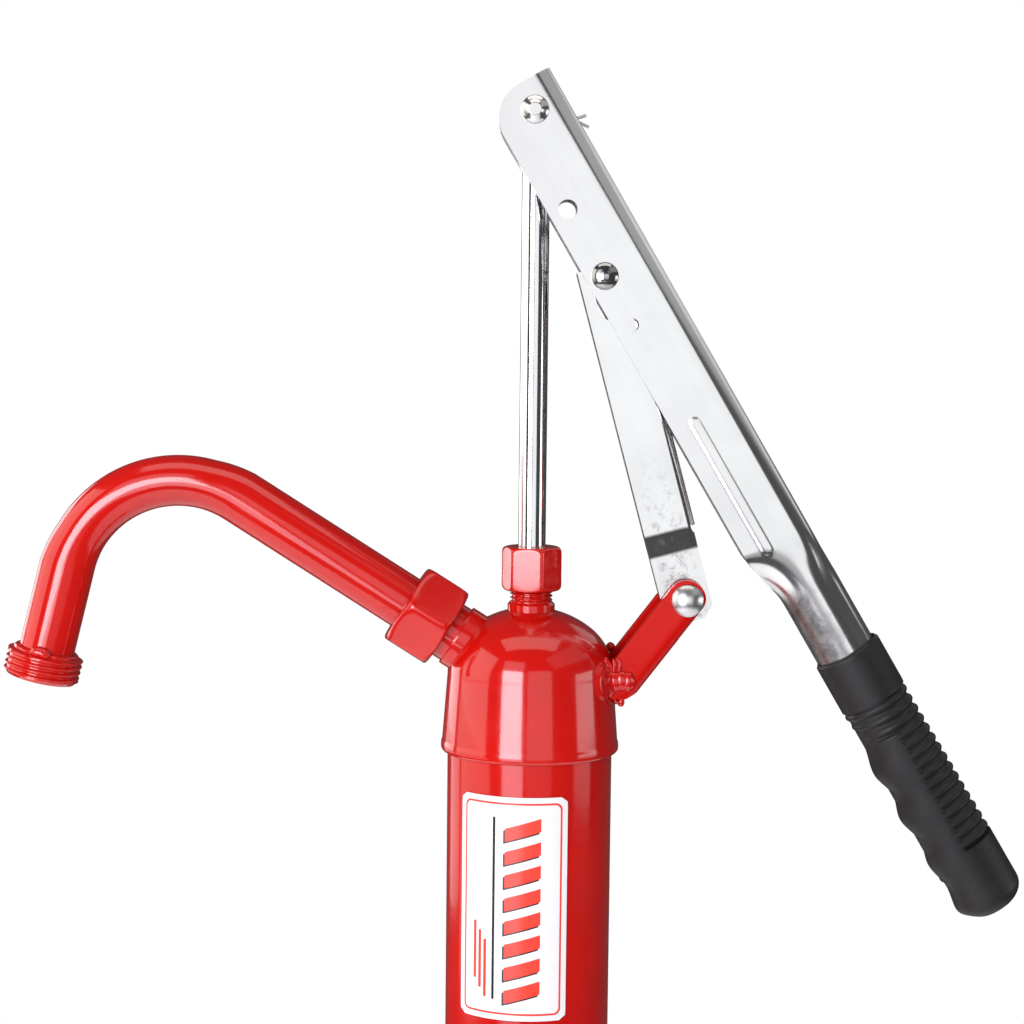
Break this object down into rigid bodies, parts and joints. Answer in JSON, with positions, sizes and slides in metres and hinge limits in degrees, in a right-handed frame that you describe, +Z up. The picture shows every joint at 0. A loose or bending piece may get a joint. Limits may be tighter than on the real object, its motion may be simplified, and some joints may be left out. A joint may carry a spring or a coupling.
{
  "type": "lever-action drum pump",
  "caption": "Hand lever pump for drums: steel cylinder with a domed head, gooseneck spout, packed rod, lever on a rocking link and a telescoping suction tube.",
  "frame": {"origin": "on the pump's axis, at the plane where the bung adapter's flange seats on the drum", "axes": "+Z up along the cylinder and rod, +X from the spout towards the lever, +Y away from the front"},
  "size_m": [0.3557, 0.068, 0.9543],
  "materials": {
    "red_paint": "glossy",
    "chrome": "polished",
    "zinc_plate": "bright",
    "steel": "plain",
    "brass": "turned",
    "grip_rubber": "satin",
    "seal_rubber": "matte",
    "packing": "braided",
    "label_film": "printed"
  },
  "bodies": {
    "pump_body": {"cylinder": "red_paint", "cap": "red_paint", "cap_gasket": "seal_rubber", "gland_boss": "red_paint", "packing_ring_1": "packing", "packing_ring_2": "packing", "packing_ring_3": "packing", "gland_follower": "brass", "spout_spigot": "red_paint", "bracket": "red_paint", "bracket_rivet": "zinc_plate", "bracket_washer_near": "zinc_plate", "bracket_washer_far": "zinc_plate", "pivot_spacer": "steel", "base_cup": "red_paint", "foot_valve_seat": "brass", "foot_valve_cage": "brass", "bung_adapter": "zinc_plate", "suction_tube_upper": "zinc_plate", "telescope_collar": "zinc_plate", "telescope_oring": "seal_rubber", "label_plate": "label_film"},
    "packing_nut": {"packing_nut": "red_paint"},
    "spout_nut": {"spout_nut": "red_paint"},
    "spout": {"spout_tube": "red_paint", "spout_ferrule": "steel", "spout_gasket": "seal_rubber", "hose_thread_collar": "red_paint"},
    "rod": {"piston_rod": "chrome", "rod_end": "steel", "piston_body": "brass", "piston_cup": "seal_rubber", "cup_retainer": "steel", "piston_nut": "steel", "valve_stop": "steel"},
    "piston_valve": {"piston_valve_disc": "brass"},
    "lever": {"lever_channel": "zinc_plate", "grip": "grip_rubber", "clevis_pin": "zinc_plate", "clevis_washer": "zinc_plate", "clevis_spacer_near": "steel", "clevis_spacer_far": "steel", "cotter_pin": "zinc_plate", "link_rivet": "zinc_plate"},
    "link": {"link_channel": "zinc_plate"},
    "foot_valve": {"foot_valve_ball": "steel"},
    "lower_tube": {"suction_tube_lower": "zinc_plate", "guide_ring": "brass", "inlet_strainer": "zinc_plate", "strainer_screen": "brass"}
  },
  "joints": [
    {"name": "rod_slide", "type": "slide", "parent": "pump_body", "child": "rod", "axis": [0, 0, -1], "range_m": [0, 0.055]},
    {"name": "lever_swing", "type": "hinge", "parent": "rod", "child": "lever", "pos_m": [-0.0007, 0, 0.4599], "axis": [0, -1, 0], "range_deg": [0, 60]},
    {"name": "link_rock", "type": "hinge", "parent": "pump_body", "child": "link", "pos_m": [0.0533, 0, 0.2943], "axis": [0, 1, 0], "range_deg": [0, 19.6]},
    {"name": "spout_swivel", "type": "hinge", "parent": "pump_body", "child": "spout", "pos_m": [0, 0, 0.2638], "axis": [-0.8462, 0, 0.5329], "continuous": true},
    {"name": "spout_nut_turn", "type": "hinge", "parent": "pump_body", "child": "spout_nut", "pos_m": [0, 0, 0.2638], "axis": [-0.8462, 0, 0.5329], "continuous": true},
    {"name": "packing_nut_turn", "type": "hinge", "parent": "pump_body", "child": "packing_nut", "pos_m": [0, 0, 0.3036], "axis": [0, 0, 1], "continuous": true},
    {"name": "piston_valve_lift", "type": "slide", "parent": "rod", "child": "piston_valve", "axis": [0, 0, 1], "range_m": [0, 0.003]},
    {"name": "foot_valve_lift", "type": "slide", "parent": "pump_body", "child": "foot_valve", "axis": [0, 0, 1], "range_m": [0, 0.006]},
    {"name": "suction_tube_slide", "type": "slide", "parent": "pump_body", "child": "lower_tube", "axis": [0, 0, -1], "range_m": [0, 0.38]}
  ],
  "couplings": [
    {"joint": "lever_swing", "follows": "rod_slide", "rad_per_m": 19.04},
    {"joint": "link_rock", "follows": "rod_slide", "rad_per_m": 6.188}
  ]
}
